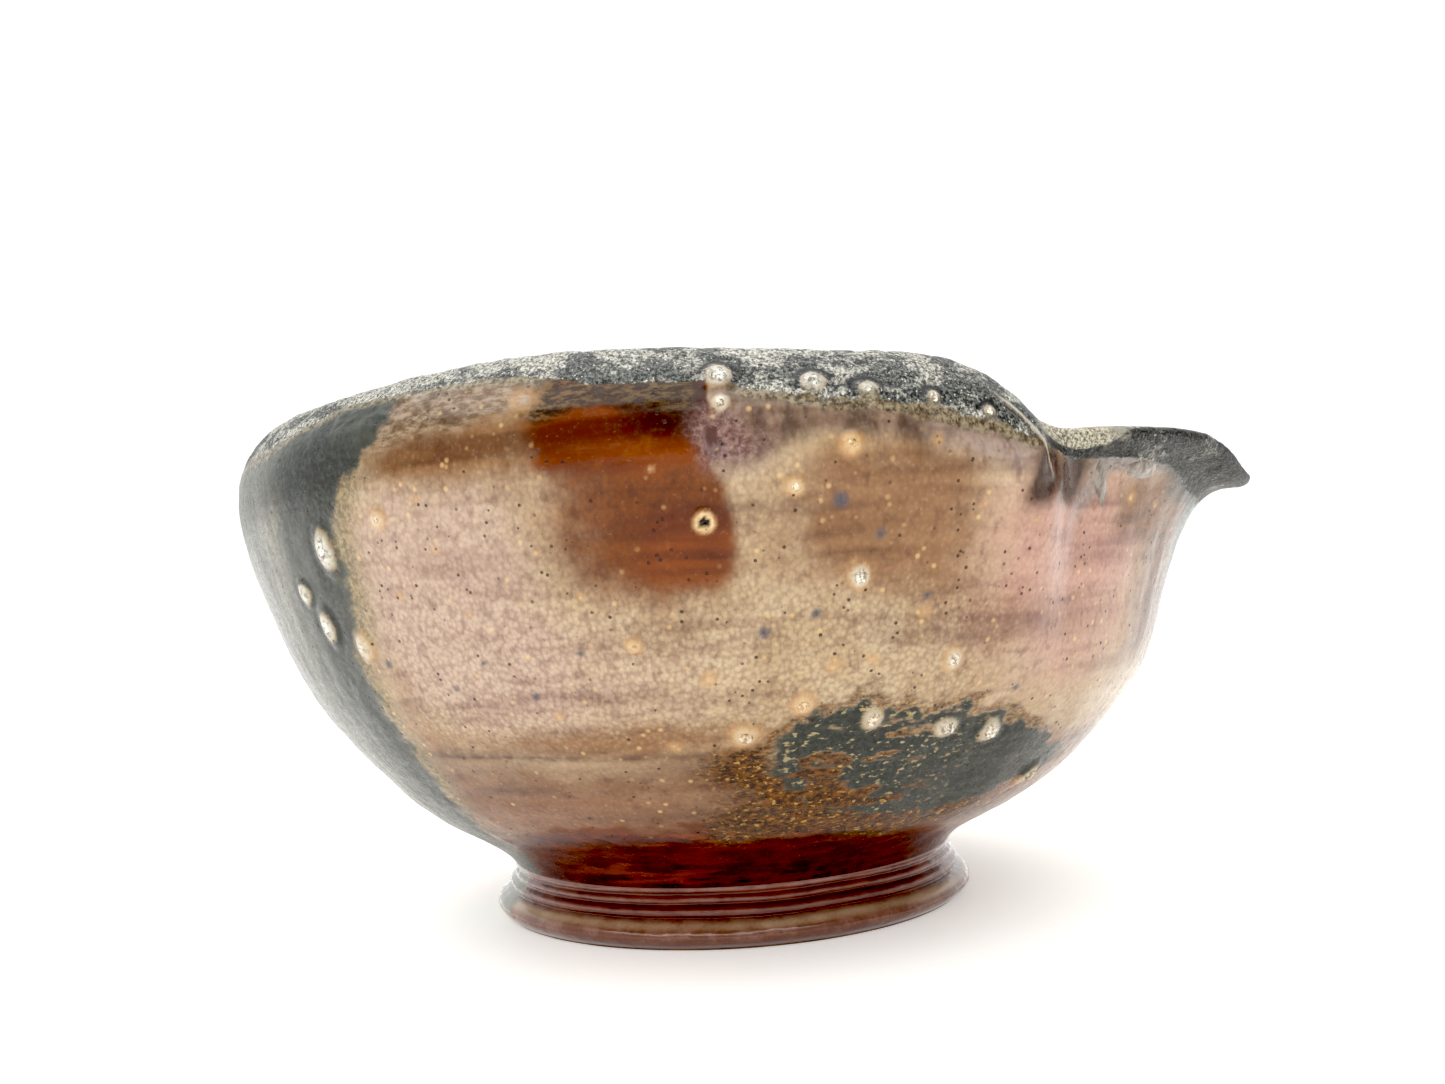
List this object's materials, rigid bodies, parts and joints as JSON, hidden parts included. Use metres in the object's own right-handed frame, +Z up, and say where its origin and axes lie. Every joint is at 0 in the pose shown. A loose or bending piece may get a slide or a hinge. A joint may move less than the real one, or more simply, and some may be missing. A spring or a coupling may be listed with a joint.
{
  "type": "matcha bowl",
  "caption": "Hand-thrown, wood-fired stoneware matcha bowl with a pulled pouring lip, a turned foot ring and ash glazes; it holds and pours whisked tea.",
  "frame": {"origin": "centre of the foot ring, on its resting plane", "axes": "+Z up along the foot's axis, +X from the axis towards the middle of the pouring lip"},
  "size_m": [0.1326, 0.1278, 0.0666],
  "materials": {
    "clay": "bare iron-bearing stoneware, fired dark brown, matt",
    "outer_glaze": "glossy mauve, tan and amber shino-like glaze with dark ash patches",
    "rim_ash": "dark grey crusted ash with pale specks, satin",
    "inner_glaze": "glossy tan glaze, darker in the floor",
    "foot_glaze": "thin glossy dark red-brown glaze",
    "feldspar": "white feldspar, half melted, glossy",
    "ash_glass": "run grey ash glass, very glossy"
  },
  "bodies": {
    "root": {"bowl_body": "clay", "pouring_lip": "clay", "foot_ring": "clay", "outer_glaze": "outer_glaze", "rim_ash_glaze": "rim_ash", "inner_glaze": "inner_glaze", "foot_glaze": "foot_glaze", "feldspar_stones": "feldspar", "ash_drips": "ash_glass"}
  },
  "joints": []
}
